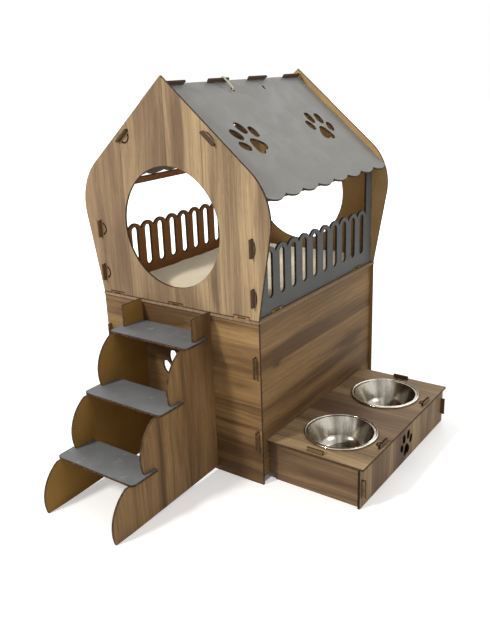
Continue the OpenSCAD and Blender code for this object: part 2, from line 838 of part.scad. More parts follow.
// Cord over the ridge with a stopper knot under each slope, swept along its route
function route_xz(i) = [CORD_ROUTE[i][0], CORD_ROUTE[i][2]];
function route_side(i) =
    let (last = len(CORD_ROUTE) - 1)
    let (d = route_xz(min(i + 1, last)) - route_xz(max(i - 1, 0)))
    [-d[1], d[0]] / norm(d);
module ridge_cord() {
    count = len(CORD_ROUTE);
    points = [
        for (i = [0:count - 1], a = [0:cord_sides - 1])
            let (angle = 360 * a / cord_sides, p = CORD_ROUTE[i], r = p[3], side = route_side(i))
            [p[0] + r * cos(angle) * side[0], cord_y + p[1] + r * sin(angle),
                ridge_z + p[2] + r * cos(angle) * side[1]]
    ];
    walls = [
        for (i = [0:count - 2], a = [0:cord_sides - 1], half = [0, 1])
            let (b = (a + 1) % cord_sides, here = i * cord_sides, next = here + cord_sides)
            half == 0 ? [here + a, here + b, next + b] : [here + a, next + b, next + a]
    ];
    last = (count - 1) * cord_sides;
    start_cap = [for (a = [1:cord_sides - 2]) [0, a + 1, a]];
    end_cap = [for (a = [1:cord_sides - 2]) [last, last + a, last + a + 1]];
    color(CORD) polyhedron(points, concat(walls, start_cap, end_cap));
}

translate(-origin) front_gable();
translate(-origin) back_gable();
translate(-origin) roof_left();
translate(-origin) roof_right();
translate(-origin) fence_left();
translate(-origin) fence_right();
translate(-origin) house_floor();
translate(-origin) floor_mat();
translate(-origin) base_front();
translate(-origin) base_back();
translate(-origin) base_left();
translate(-origin) base_right();
translate(-origin) stringer_left();
translate(-origin) stringer_right();
translate(-origin) tread_top();
translate(-origin) tread_middle();
translate(-origin) tread_bottom();
translate(-origin) tray_top();
translate(-origin) tray_front();
translate(-origin) tray_end_near();
translate(-origin) tray_end_far();
translate(-origin) bowl_near();
translate(-origin) bowl_far();
translate(-origin) ridge_cord();
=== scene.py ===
"""Cat house of printed board: materials, soft goods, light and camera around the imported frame."""
import math

import bmesh
import bpy
from mathutils import Matrix, Vector, noise


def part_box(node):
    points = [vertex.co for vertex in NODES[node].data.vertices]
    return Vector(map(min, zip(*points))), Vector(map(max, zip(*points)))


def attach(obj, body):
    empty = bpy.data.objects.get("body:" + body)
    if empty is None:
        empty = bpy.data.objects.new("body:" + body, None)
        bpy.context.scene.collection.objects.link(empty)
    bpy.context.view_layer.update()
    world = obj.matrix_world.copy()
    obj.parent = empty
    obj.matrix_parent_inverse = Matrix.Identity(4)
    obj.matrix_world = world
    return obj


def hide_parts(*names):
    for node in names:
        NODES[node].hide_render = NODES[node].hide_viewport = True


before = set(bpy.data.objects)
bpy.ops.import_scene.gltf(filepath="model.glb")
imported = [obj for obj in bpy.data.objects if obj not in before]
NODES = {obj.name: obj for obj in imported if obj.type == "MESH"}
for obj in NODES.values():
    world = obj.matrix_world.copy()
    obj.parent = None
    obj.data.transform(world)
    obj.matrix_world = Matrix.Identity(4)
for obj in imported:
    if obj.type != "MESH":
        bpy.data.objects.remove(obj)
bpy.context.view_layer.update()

scene = bpy.context.scene

X = (1, 0, 0)
Y = (0, 1, 0)
Z = (0, 0, 1)
TO_LEFT = (-1, 0, 0)
TO_FRONT = (0, -1, 0)

# The drawing's own zero lies at this place in the row frame, in metres
HOUSE = Vector((-0.0787528, -0.0845, 0.0))
HOUSE_DEEP = 0.434
RIDGE = 0.69006
ROOF_LEAN = math.radians(40.5)
# Heights at which the room and the base meet the floor plate
SEAM_HIGH = 0.310
SEAM_LOW = 0.306


# Camera, at the photograph's viewing angle

EYE = Vector((0.738962, -1.001090, 0.713804))
EYE_RIGHT = Vector((0.8161616, 0.5767139, -0.0357950))
EYE_DOWN = Vector((0.1578966, -0.2821870, -0.9462765))
EYE_AHEAD = Vector((-0.5558317, 0.7666627, -0.3213713))
PHOTO_HIGH = 618
FOCAL_PIXELS = 716.236
SENSOR = 36

cam_data = bpy.data.cameras.new("camera")
cam_data.sensor_width = SENSOR
cam_data.lens = FOCAL_PIXELS / PHOTO_HIGH * SENSOR
cam_data.clip_start = 0.05
cam_data.clip_end = 50
cam = bpy.data.objects.new("camera", cam_data)
turn = Matrix((EYE_RIGHT, -EYE_DOWN, -EYE_AHEAD)).transposed()
cam.matrix_world = Matrix.Translation(EYE) @ turn.to_4x4()
scene.collection.objects.link(cam)
scene.camera = cam


# Material helper

class Graph:
    """A material whose nodes are wired by short calls; sockets and plain values mix freely."""

    def __init__(self, name):
        self.mat = bpy.data.materials.new(name)
        self.mat.use_nodes = True
        self.tree = self.mat.node_tree
        self.tree.nodes.clear()
        self.shader = self.new("BsdfPrincipled")
        out = self.new("OutputMaterial")
        self.tree.links.new(self.shader.outputs[0], out.inputs["Surface"])
        self.place = self.new("TexCoord").outputs["Object"]

    def new(self, kind, **settings):
        node = self.tree.nodes.new("ShaderNode" + kind)
        for key, value in settings.items():
            setattr(node, key, value)
        return node

    def put(self, socket, value):
        if isinstance(value, bpy.types.NodeSocket):
            self.tree.links.new(value, socket)
        else:
            socket.default_value = value

    def paint(self, socket, colour):
        """As put, for a colour of three plain values"""
        self.put(socket, colour if isinstance(colour, bpy.types.NodeSocket) else (*colour, 1.0))

    def set(self, name, value):
        self.put(self.shader.inputs[name], value)

    def math(self, op, a, b=0.0, clamp=False):
        node = self.new("Math", operation=op, use_clamp=clamp)
        self.put(node.inputs[0], a)
        self.put(node.inputs[1], b)
        return node.outputs[0]

    def plus(self, a, b):
        return self.math("ADD", a, b)

    def minus(self, a, b):
        return self.math("SUBTRACT", a, b)

    def times(self, a, b):
        return self.math("MULTIPLY", a, b)

    def off(self, a, b):
        """How far a lies from b, either way"""
        return self.math("ABSOLUTE", self.minus(a, b))

    def squares(self, a, b):
        return self.plus(self.times(a, a), self.times(b, b))

    def dot(self, vector, axis):
        node = self.new("VectorMath", operation="DOT_PRODUCT")
        self.put(node.inputs[0], vector)
        self.put(node.inputs[1], axis)
        return node.outputs["Value"]

    def join(self, x, y, z):
        node = self.new("CombineXYZ")
        for socket, value in zip(node.inputs, (x, y, z)):
            self.put(socket, value)
        return node.outputs[0]

    def noise(self, where, size=1.0, detail=2.0, rough=0.5, bend=0.0):
        node = self.new("TexNoise")
        self.put(node.inputs["Vector"], where)
        node.inputs["Scale"].default_value = size
        node.inputs["Detail"].default_value = detail
        node.inputs["Roughness"].default_value = rough
        node.inputs["Distortion"].default_value = bend
        return node.outputs[0]

    def random(self, value):
        node = self.new("TexWhiteNoise", noise_dimensions="1D")
        self.put(node.inputs["W"], value)
        return node.outputs["Value"]

    def step(self, value, low, high, start=0.0, end=1.0):
        """start to end, smoothly, as value goes from low to high"""
        node = self.new("MapRange", interpolation_type="SMOOTHSTEP")
        for name, number in (("Value", value), ("From Min", low), ("From Max", high),
                             ("To Min", start), ("To Max", end)):
            self.put(node.inputs[name], number)
        return node.outputs[0]

    def mix(self, share, a, b, blend="MIX"):
        node = self.new("Mix", data_type="RGBA", blend_type=blend)
        self.put(node.inputs["Factor"], share)
        self.paint(node.inputs[6], a)
        self.paint(node.inputs[7], b)
        return node.outputs[2]

    def blend(self, share, a, b):
        node = self.new("Mix", data_type="FLOAT")
        self.put(node.inputs["Factor"], share)
        self.put(node.inputs[2], a)
        self.put(node.inputs[3], b)
        return node.outputs[0]

    def shade(self, colour, value, low, high):
        """colour times low to high as value goes from 0 to 1"""
        scale = self.step(value, 0.0, 1.0, low, high)
        return self.mix(1.0, colour, self.join(scale, scale, scale), "MULTIPLY")

    def bump(self, height, depth, strength):
        node = self.new("Bump")
        node.inputs["Strength"].default_value = strength
        node.inputs["Distance"].default_value = depth
        self.put(node.inputs["Height"], height)
        self.set("Normal", node.outputs[0])

    def near_edge(self, reach):
        """0 on an open face, rising towards the sheet's own edges"""
        node = self.new("AmbientOcclusion", inside=True, only_local=True, samples=8)
        node.inputs["Distance"].default_value = reach
        return self.minus(1.0, node.outputs["AO"])


def srgb(r, g, b):
    """A colour given in 0 to 255 display steps"""
    return tuple(((v / 255 + 0.055) / 1.055) ** 2.4 if v > 10 else v / 3294.6 for v in (r, g, b))


def seen_rays(tree):
    """1 for rays from the camera, off metal or through glass, and 0 for the others"""
    path = tree.nodes.new("ShaderNodeLightPath")
    seen = path.outputs["Is Camera Ray"]
    for ray in ("Is Glossy Ray", "Is Transmission Ray"):
        either = tree.nodes.new("ShaderNodeMath")
        either.operation = "MAXIMUM"
        tree.links.new(seen, either.inputs[0])
        tree.links.new(path.outputs[ray], either.inputs[1])
        seen = either.outputs[0]
    return seen


# Printed wood. A noise layer is its cells per metre along and across the grain, detail and roughness.
# A range is the two values between which a step goes, and where given, its start and its end.

# Print colours from light to dark, for the room, for the tray and for the rest
PALE = (srgb(187, 160, 122), srgb(157, 132, 100), srgb(109, 87, 67))
MID = (srgb(184, 156, 116), srgb(144, 117, 86), srgb(94, 71, 52))
DEEP = (srgb(168, 134, 90), srgb(138, 106, 68), srgb(86, 61, 38))
BARK = srgb(62, 43, 30)

# Each plank lies elsewhere in the noise and has its own heart, around which its rings run
PLANKS_APART = 37.3
SECOND_LUCK = 0.37
SWAY = (3.0, 8.0, 2.0, 0.55)
SWAY_REACH = 0.026
HEART_SPREAD = 0.16
HEART_BACK = 0.9
HEART_SLOPE = 0.085
RINGS_PER_METRE = 105.0
RIPPLE = (6.0, 40.0, 3.0, 0.55)
RIPPLE_REACH = 1.6
RING_RISE = (0.15, 0.85)
RING_FALL = (0.88, 1.0, 1.0, 0.0)

BROAD = (1.7, 20.0, 2.0, 0.5)
STREAK = (2.8, 62.0, 4.0, 0.6)
VEIN = (7.0, 230.0, 3.0, 0.6)
FIBRE = (20.0, 620.0, 3.0, 0.65)
PORE = (55.0, 1300.0, 1.0, 0.5)

BROAD_DARK = (0.38, 0.72, 0.0, 0.75)
STREAK_DARK = (0.44, 0.76, 0.0, 0.4)
MARK_GRAIN = (0.25, 0.6, 0.45, 1.0)
MOST_DARK = 0.9
RING_SHARE = (0.3, 0.6, 0.06, 0.26)
VEIN_SHADE = (0.8, 1.2)
FIBRE_SHADE = (0.66, 1.3)
PORE_DARK = (0.62, 0.78, 0.0, 0.5)
PORE_DEPTH = 0.8
PLANK_GAP = (0.0003, 0.0012, 0.45, 0.0)
WOOD_ROUGH = (0.2, 0.8, 0.5, 0.66)


def wood_face(g, palette, along, across, seed, seams, tones, marks):
    """Printed wood: planks between seams, with arched rings, streaks, fibres and pores along the grain.
    tones say how far each plank's colour goes from the palette's light to its middle, and past 1 towards
    its dark. marks are dark places of the print, some of them painted shade: where along and across the
    grain, length, width and strength. Seams and marks are in the drawing's metres."""
    light, tan, umber = palette
    a = g.minus(g.dot(g.place, along), Vector(along).dot(HOUSE))
    c = g.minus(g.dot(g.place, across), Vector(across).dot(HOUSE))
    plank = float(seed)
    share = tones[0]
    for seam, before, after in zip(seams, tones, tones[1:]):
        past = g.math("GREATER_THAN", c, seam)
        plank = g.plus(plank, past)
        share = g.plus(share, g.times(past, after - before))
    luck = g.random(plank)
    luck_too = g.random(g.plus(plank, SECOND_LUCK))
    shift = g.times(luck, PLANKS_APART)

    def grain(layer, side):
        fine_along, fine_across, detail, rough = layer
        where = g.join(g.times(a, fine_along), g.times(side, fine_across), shift)
        return g.noise(where, 1.0, detail, rough)

    bent = g.plus(c, g.times(g.minus(grain(SWAY, c), 0.5), SWAY_REACH))
    heart_c = g.plus(bent, g.times(luck, HEART_SPREAD))
    heart_a = g.times(g.plus(a, g.minus(luck_too, HEART_BACK)), HEART_SLOPE)
    from_heart = g.math("SQRT", g.squares(heart_c, heart_a))
    ripple = g.times(grain(RIPPLE, c), RIPPLE_REACH)
    ring = g.math("FRACT", g.plus(g.times(from_heart, RINGS_PER_METRE), ripple))
    late = g.times(g.step(ring, *RING_RISE), g.step(ring, *RING_FALL))
    broad, streak, vein, fibre, pore = (grain(layer, bent) for layer in (BROAD, STREAK, VEIN, FIBRE, PORE))

    dark = g.plus(g.step(broad, *BROAD_DARK), g.step(streak, *STREAK_DARK))
    mark_grain = g.step(streak, *MARK_GRAIN)
    for at, over, length, width, strength in marks:
        u = g.math("DIVIDE", g.minus(a, at), length)
        v = g.math("DIVIDE", g.minus(bent, over), width)
        spot = g.math("EXPONENT", g.times(g.squares(u, v), -1.0))
        dark = g.plus(dark, g.times(g.times(spot, strength), mark_grain))
    dark = g.math("MINIMUM", dark, 1.0)
    past_middle = g.math("MAXIMUM", g.minus(share, 1.0), 0.0)
    dark = g.math("ADD", dark, past_middle, clamp=True)

    colour = g.mix(share, light, tan)
    colour = g.mix(g.times(dark, MOST_DARK), colour, umber)
    colour = g.mix(g.times(late, g.step(broad, *RING_SHARE)), colour, umber)
    colour = g.shade(colour, vein, *VEIN_SHADE)
    colour = g.shade(colour, fibre, *FIBRE_SHADE)
    colour = g.mix(g.step(pore, *PORE_DARK), colour, BARK)
    for seam in seams:
        colour = g.mix(g.step(g.off(c, seam), *PLANK_GAP), colour, BARK)
    height = g.minus(fibre, g.times(pore, PORE_DEPTH))
    return colour, g.step(fibre, *WOOD_ROUGH), height


# Printed grey and bare board. A noise layer here is its size, detail, roughness and bend.

# One grey laminate: the fence's and the treads' greys are darker copies of the roof's, as painted shade
ROOF_GREY = srgb(146, 145, 140)
FENCE_GREY_SHADED = srgb(96, 97, 96)
TREAD_GREY_SHADED = srgb(110, 111, 112)
SCUFF = srgb(172, 174, 176)
TREAD_WEAR = 0.6
SPECK = (900.0, 3.0, 0.75)
SPECK_SHADE = (0.72, 1.28)
CLOUD = (28.0, 4.0, 0.6)
CLOUD_NEW = 0.06
CLOUD_WORN = 0.16
RUB = (46.0, 6.0, 0.72, 0.6)
RUB_SHOWS = (0.56, 0.78)
GREY_ROUGH = (0.3, 0.7, 0.56, 0.7)

RAW_PALE = srgb(180, 146, 96)
RAW_OLIVE = srgb(152, 115, 58)
RAW_BROWN = srgb(100, 84, 68)
# A lighter copy of the grey boards' bare back, as painted light on the fences' backs inside the room
RAW_PAINTED_LIGHT = srgb(168, 116, 72)
# A darker copy of the bare back, as painted shade on the backs inside the tray
RAW_IN_PAINTED_SHADE = srgb(96, 69, 40)
FLUFF = (650.0, 4.0, 0.7)
FLUFF_SHADE = (0.78, 1.2)
PRESSING = (16.0, 3.0, 0.6)
PRESSING_SHADE = (0.84, 1.12)
RAW_ROUGH = 0.75


def grey_face(g, colour, wear=0.0):
    """Printed grey board: fine speckle on a cloudy ground, with pale scuffs where it is worn"""
    speck = g.noise(g.place, *SPECK)
    cloud = g.noise(g.place, *CLOUD)
    cloudy = CLOUD_NEW + CLOUD_WORN * wear
    tone = g.shade(colour, speck, *SPECK_SHADE)
    tone = g.shade(tone, cloud, 1 - cloudy, 1 + cloudy)
    if wear:
        rub = g.noise(g.place, *RUB)
        tone = g.mix(g.step(rub, *RUB_SHOWS, 0.0, wear), tone, SCUFF)
    return tone, g.step(cloud, *GREY_ROUGH), speck


def raw_face(g, colour):
    """Bare fibreboard: matt, with short fibres and cloudy pressing marks"""
    fluff = g.noise(g.place, *FLUFF)
    pressing = g.noise(g.place, *PRESSING)
    tone = g.shade(colour, fluff, *FLUFF_SHADE)
    tone = g.shade(tone, pressing, *PRESSING_SHADE)
    return tone, RAW_ROUGH, fluff


# Boards: a printed face, a raw back and scorched laser-cut edges

# Edges, each from its scorched to its browner places
CHAR = (srgb(48, 35, 26), srgb(104, 77, 53))
CUT = (srgb(66, 48, 33), srgb(98, 74, 52))
# Scorched, and darker still as painted shade, for the tray front's paw opening
BURNT_AND_SHADED = (srgb(24, 15, 9), srgb(58, 42, 29))
ASH = (srgb(36, 32, 28), srgb(66, 58, 50))
BARE = (srgb(130, 110, 92), srgb(158, 137, 116))
EDGE_CLOUD = (260.0, 3.0, 0.6)
EDGE_BROWNS = (0.35, 0.7)
EDGE_ROUGH = 0.85
# A face that looks this little along the sheet's outward way is a cut
CUT_FACING = 0.7
RIM_REACH = 0.0014
RIM_SHOWS = (0.1, 0.5)
RIM_SHARE = (0.25, 0.6, 0.25, 0.7)
SMOKE_REACH = 0.0036
SMOKE_SHOWS = (0.04, 0.4)
FENCE_SMOKE = 0.9
# Soot and painted shade along the joint with the floor plate: its colour, and the span over which it fades
SOOT_AND_SHADE = srgb(38, 26, 17)
SOOT_AND_SHADE_GAP = (0.0008, 0.0032, 0.85, 0.0)
# Tabs of these sheets pass through the gables or stand up along the ridge
PIERCING = ("roof_left", "roof_right", "fence_left", "fence_right")
TIP_BROWN = srgb(88, 62, 40)
TIP_DARK = srgb(62, 51, 42)
TIP_SHARE = 0.75
TIP_BLUR = 0.001
BOARD_SHINE = 0.18
# A bump is its depth in metres and its strength
BOARD_BUMP = (0.00025, 0.6)


def board(node, outward, face, raw=RAW_OLIVE, edge=CHAR, soot_and_shade_z=None, smoke=0.0):
    """Gives a sheet its three finishes, told apart by the way each face looks. soot_and_shade_z is the
    height of the joint with the floor plate, darkened by soot and by painted shade, and smoke says how far
    the cuts have stained the raw back."""
    g = Graph(node + "_board")
    scorched, browned = edge
    tone, rough, height = face(g)
    raw_tone, raw_rough, raw_height = raw_face(g, raw)
    if smoke:
        stain = g.step(g.near_edge(SMOKE_REACH), *SMOKE_SHOWS, 0.0, smoke)
        raw_tone = g.mix(stain, raw_tone, browned)
    side = g.dot(g.new("NewGeometry").outputs["True Normal"], outward)
    back = g.math("LESS_THAN", side, 0.0)
    cut = g.math("LESS_THAN", g.math("ABSOLUTE", side), CUT_FACING)
    patchy = g.noise(g.place, *EDGE_CLOUD)
    tone = g.mix(back, tone, raw_tone)
    tone = g.mix(cut, tone, g.mix(g.step(patchy, *EDGE_BROWNS), scorched, browned))
    rim = g.step(g.near_edge(RIM_REACH), *RIM_SHOWS)
    tone = g.mix(g.times(rim, g.step(patchy, *RIM_SHARE)), tone, scorched)
    # The joint with the floor plate is darkened by soot and by painted shade
    if soot_and_shade_z:
        gap = g.off(g.dot(g.place, Z), soot_and_shade_z)
        tone = g.mix(g.step(gap, *SOOT_AND_SHADE_GAP), tone, SOOT_AND_SHADE)
    if node in PIERCING:
        half = HOUSE_DEEP / 2
        from_middle = g.off(g.dot(g.place, Y), HOUSE.y + half)
        outside = g.step(from_middle, half - TIP_BLUR, half + TIP_BLUR, 0.0, TIP_SHARE)
        tone = g.mix(outside, tone, TIP_BROWN)
        above = g.step(g.dot(g.place, Z), RIDGE - TIP_BLUR, RIDGE + 2 * TIP_BLUR, 0.0, TIP_SHARE)
        tone = g.mix(above, tone, TIP_DARK)
    g.set("Base Color", tone)
    g.set("Roughness", g.blend(cut, g.blend(back, rough, raw_rough), EDGE_ROUGH))
    g.set("Specular IOR Level", BOARD_SHINE)
    g.bump(g.blend(cut, g.blend(back, height, raw_height), patchy), *BOARD_BUMP)
    NODES[node].data.materials.clear()
    NODES[node].data.materials.append(g.mat)


def printed(palette, **layout):
    """A face of printed wood, for board"""
    return lambda g: wood_face(g, palette, **layout)


def plain(colour, wear=0.0):
    """A face of printed grey, for board"""
    return lambda g: grey_face(g, colour, wear)


board("front_gable", TO_FRONT, raw=RAW_PALE, soot_and_shade_z=SEAM_HIGH, face=printed(
    PALE, along=Z, across=X, seed=3,
    seams=(-0.105, 0.002, 0.078),
    tones=(1.15, 0.95, 0.4, 0.2),
    marks=((0.60, 0.022, 0.06, 0.014, 0.7),
           (0.52, 0.012, 0.14, 0.03, 0.35),
           (0.45, 0.099, 0.14, 0.008, 0.95),
           (0.35, 0.094, 0.05, 0.012, 0.6),
           (0.44, -0.165, 0.12, 0.014, 0.9),
           (0.37, -0.12, 0.08, 0.025, 0.7))))
board("back_gable", Y, raw=RAW_PALE, soot_and_shade_z=SEAM_HIGH, face=printed(
    PALE, along=Z, across=X, seed=17,
    seams=(-0.09, 0.03, 0.12),
    tones=(0.2, 0.6, 0.35, 0.5),
    marks=((0.58, 0.04, 0.08, 0.012, 0.9),
           (0.45, -0.12, 0.15, 0.011, 0.8))))
for roof, side in (("roof_right", 1), ("roof_left", -1)):
    slope = (side * math.sin(ROOF_LEAN), 0, math.cos(ROOF_LEAN))
    board(roof, slope, plain(ROOF_GREY), raw=RAW_BROWN)
for fence, outward in (("fence_right", X), ("fence_left", TO_LEFT)):
    board(fence, outward, plain(FENCE_GREY_SHADED), raw=RAW_PAINTED_LIGHT, edge=ASH, soot_and_shade_z=SEAM_HIGH, smoke=FENCE_SMOKE)
board("house_floor", Z, lambda g: raw_face(g, RAW_PALE), edge=BARE)

board("base_front", TO_FRONT, soot_and_shade_z=SEAM_LOW, face=printed(
    DEEP, along=X, across=Z, seed=29,
    seams=(0.069, 0.111, 0.156, 0.222),
    tones=(1.0, 0.35, 0.5, 0.7, 0.0),
    # The first two marks are painted shade: on the board between the tops of the stair's sides, and behind
    # the stairs
    marks=((-0.05, 0.285, 0.11, 0.03, 0.9),
           (-0.01, 0.21, 0.05, 0.06, 1.0),
           (0.1, 0.298, 0.1, 0.008, 0.6),
           (0.135, 0.188, 0.03, 0.008, 0.8),
           (0.11, 0.150, 0.1, 0.007, 0.8),
           (0.11, 0.106, 0.07, 0.006, 0.8),
           (0.1, 0.02, 0.2, 0.045, 1.0))))
board("base_back", Y, soot_and_shade_z=SEAM_LOW, face=printed(
    DEEP, along=X, across=Z, seed=41,
    seams=(0.07, 0.15, 0.22),
    tones=(0.9, 0.5, 0.7, 0.3),
    marks=((0.0, 0.12, 0.09, 0.012, 0.8),
           (-0.1, 0.25, 0.08, 0.012, 0.7))))
board("base_right", X, soot_and_shade_z=SEAM_LOW, face=printed(
    DEEP, along=Y, across=Z, seed=53,
    seams=(0.095, 0.142, 0.215),
    tones=(0.75, 0.9, 0.6, 0.4),
    marks=((0.12, 0.238, 0.14, 0.008, 0.9),
           (0.06, 0.213, 0.014, 0.006, 0.9),
           (0.345, 0.165, 0.05, 0.018, 0.9),
           (0.2, 0.138, 0.2, 0.009, 0.9),
           (0.1, 0.10, 0.12, 0.008, 0.7))))
board("base_left", TO_LEFT, soot_and_shade_z=SEAM_LOW, face=printed(
    DEEP, along=Y, across=Z, seed=61,
    seams=(0.08, 0.16, 0.25),
    tones=(0.8, 0.5, 0.65, 0.35),
    marks=((0.3, 0.2, 0.08, 0.012, 0.8),)))

board("stringer_right", X, printed(
    DEEP, along=Z, across=Y, seed=71,
    seams=(-0.19, -0.08),
    tones=(0.5, 0.6, 0.8),
    marks=((0.12, -0.155, 0.14, 0.006, 0.8),
           (0.1, -0.125, 0.16, 0.005, 0.6),
           # This last mark is painted shade at the top of the side, next to the base
           (0.28, -0.02, 0.09, 0.03, 0.9))))
board("stringer_left", TO_LEFT, printed(
    DEEP, along=Z, across=Y, seed=83,
    seams=(-0.16, -0.05),
    tones=(0.4, 0.7, 0.5),
    marks=((0.15, -0.1, 0.12, 0.006, 0.7),)))
for tread in ("tread_top", "tread_middle", "tread_bottom"):
    board(tread, Z, plain(TREAD_GREY_SHADED, TREAD_WEAR), raw=RAW_BROWN)

board("tray_top", Z, edge=CUT, face=printed(
    MID, along=X, across=Y, seed=97,
    seams=(0.12, 0.235, 0.34),
    tones=(0.0, 0.9, 0.7, 0.4),
    marks=((0.21, 0.19, 0.10, 0.03, 0.8),)))
board("tray_front", X, raw=RAW_IN_PAINTED_SHADE, edge=BURNT_AND_SHADED, face=printed(
    MID, along=Z, across=Y, seed=103,
    seams=(0.069, 0.133, 0.157, 0.243, 0.315),
    tones=(0.5, 1.15, 0.4, 1.0, 0.1, 0.7),
    marks=((0.03, 0.10, 0.1, 0.02, 0.5),
           (0.03, 0.2, 0.1, 0.014, 0.5))))
board("tray_end_near", TO_FRONT, edge=CUT, face=printed(
    MID, along=X, across=Z, seed=113,
    seams=(0.012,),
    tones=(1.0, 1.1),
    marks=((0.3, 0.032, 0.12, 0.012, 0.8),
           (0.18, 0.05, 0.03, 0.04, 0.7))))
board("tray_end_far", Y, raw=RAW_IN_PAINTED_SHADE, edge=CUT, face=printed(
    MID, along=X, across=Z, seed=127,
    seams=(0.05,),
    tones=(0.5, 0.6),
    marks=((0.25, 0.03, 0.1, 0.01, 0.7),)))


# Bowls

# The steel's tone goes from dull to bright with smears and with a painted reflection
STEEL_DULL_AND_DARK_REFLECTION = srgb(122, 115, 103)
STEEL_BRIGHT = srgb(198, 192, 180)
STEEL_ROUGH = (0.3, 0.7, 0.26, 0.14)
SMEAR = (1.0, 4.0, 0.6)
SMEAR_AROUND = 1.5
SMEAR_DOWN = 9.0
SMEAR_AND_REFLECTION_BRIGHT = (0.36, 0.62)
# Painted reflection: the wall towards the house is brighter than the wall away from it
REFLECTION_X = -0.09
REFLECTION_Y = -0.06
TURNING_LINES = 900.0
LINE_DEPTH = 0.05
DENTS = (60.0, 2.0)
STEEL_BUMP = (0.0006, 0.3)
# Points nearer to the bowl's axis than this count as lying this far from it
LEAST_OUT = 0.004


def steel(bowl):
    """Spun stainless steel: smears left by wiping run down its wall and a painted reflection brightens
    the wall towards the house, with faint dents and turning lines
    """
    low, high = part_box(bowl)
    middle = (low + high) / 2
    g = Graph(bowl + "_steel")
    x, y, z = (g.minus(g.dot(g.place, axis), zero) for axis, zero in zip((X, Y, Z), middle))
    out = g.math("MAXIMUM", g.math("SQRT", g.squares(x, y)), LEAST_OUT)
    turn_x = g.math("DIVIDE", x, out)
    turn_y = g.math("DIVIDE", y, out)
    where = g.join(g.times(turn_x, SMEAR_AROUND), g.times(turn_y, SMEAR_AROUND), g.times(z, SMEAR_DOWN))
    smear = g.noise(where, *SMEAR)
    painted_reflection = g.plus(g.times(turn_x, REFLECTION_X), g.times(turn_y, REFLECTION_Y))
    smears_and_reflection = g.step(g.plus(smear, painted_reflection), *SMEAR_AND_REFLECTION_BRIGHT)
    lines = g.noise(g.join(0.0, g.times(out, TURNING_LINES), g.times(z, TURNING_LINES)))
    dents = g.noise(g.place, *DENTS)
    g.set("Metallic", 1.0)
    g.set("Base Color", g.mix(smears_and_reflection, STEEL_DULL_AND_DARK_REFLECTION, STEEL_BRIGHT))
    g.set("Roughness", g.step(smear, *STEEL_ROUGH))
    g.bump(g.plus(dents, g.times(lines, LINE_DEPTH)), *STEEL_BUMP)
    return g.mat


for bowl in ("bowl_near", "bowl_far"):
    NODES[bowl].data.materials.clear()
    NODES[bowl].data.materials.append(steel(bowl))


# Soft goods

def add_piece(name, mesh, body, material):
    """A new smooth piece that rides on a body"""
    obj = bpy.data.objects.new(name, mesh)
    scene.collection.objects.link(obj)
    mesh.materials.clear()
    mesh.materials.append(material)
    for face in mesh.polygons:
        face.use_smooth = True
    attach(obj, body)
    return obj


def finished_mesh(made, name):
    """A mesh from bmesh work, which is then freed"""
    bmesh.ops.recalc_face_normals(made, faces=made.faces)
    mesh = bpy.data.meshes.new(name)
    made.to_mesh(mesh)
    made.free()
    return mesh


def settled(obj):
    """The object's mesh with its modifiers applied"""
    graph = bpy.context.evaluated_depsgraph_get()
    return bpy.data.meshes.new_from_object(obj.evaluated_get(graph))


COTTON_DULL = srgb(214, 198, 168)
COTTON_CREAM = srgb(238, 228, 206)
COTTON_PATCH = (300.0, 2.0)
COTTON_FLUFF = (2600.0, 3.0, 0.7)
COTTON_SHADE = (0.82, 1.1)
COTTON_BUMP = (0.0003, 0.7)


def cord_fibre():
    """Cotton cord: cream, with soft patches and loose fluff"""
    g = Graph("cord_cotton")
    fluff = g.noise(g.place, *COTTON_FLUFF)
    tone = g.mix(g.noise(g.place, *COTTON_PATCH), COTTON_DULL, COTTON_CREAM)
    g.set("Base Color", g.shade(tone, fluff, *COTTON_SHADE))
    g.set("Roughness", 0.9)
    g.set("Sheen Weight", 0.4)
    g.set("Sheen Roughness", 0.5)
    g.bump(fluff, *COTTON_BUMP)
    return g.mat


CORD_R = 0.0015
# The route's numbers are in millimetres, as in the drawing
CORD_Y = 173.0
RIDGE_Z = RIDGE * 1000
# Route over the ridge: x, y off the slots, z above the ridge
CORD_STOPS = (
    (14.4, 0, -21.6), (16.4, 0, -19.3), (19, 0, -16.2), (20.3, 0, -14.2), (20.2, -1, -12.4),
    (19, -2, -10), (14.9, -6, -3.6), (10.8, -10, 2.6), (9.3, -11, 5.2), (6.3, -12, 7.2),
    (3.2, -11, 5.6), (-7.2, -6, -3.2), (-17.2, -1, -12.1), (-19.1, 0, -14), (-19.4, 0, -15.6),
    (-18.4, 0, -17), (-16.4, 0, -19.3), (-14.4, 0, -21.6),
)
POINTS_PER_SPAN = 8
STRANDS = 3
TWIST_PITCH = 0.009
CORD_SIDES = 24
# Share of the radius that the grooves between strands keep, and how full the strands are
GROOVE = 0.72
FULLNESS = 0.6


def to_row(x, y, z):
    """A point of the drawing, in millimetres, as a place in the row frame"""
    return Vector((x, y, z)) / 1000 + HOUSE


def smooth_path(stops, per_span):
    """Points along a curve that passes through every stop"""
    pts = []
    last = len(stops) - 1
    for i in range(last):
        a, b, c, d = (stops[min(max(i + k, 0), last)] for k in (-1, 0, 1, 2))
        for k in range(per_span):
            t = k / per_span
            pts.append(0.5 * (2 * b + (c - a) * t + (2 * a - 5 * b + 4 * c - d) * t * t
                              + (3 * b - a - 3 * c + d) * t ** 3))
    return pts + [stops[-1]]


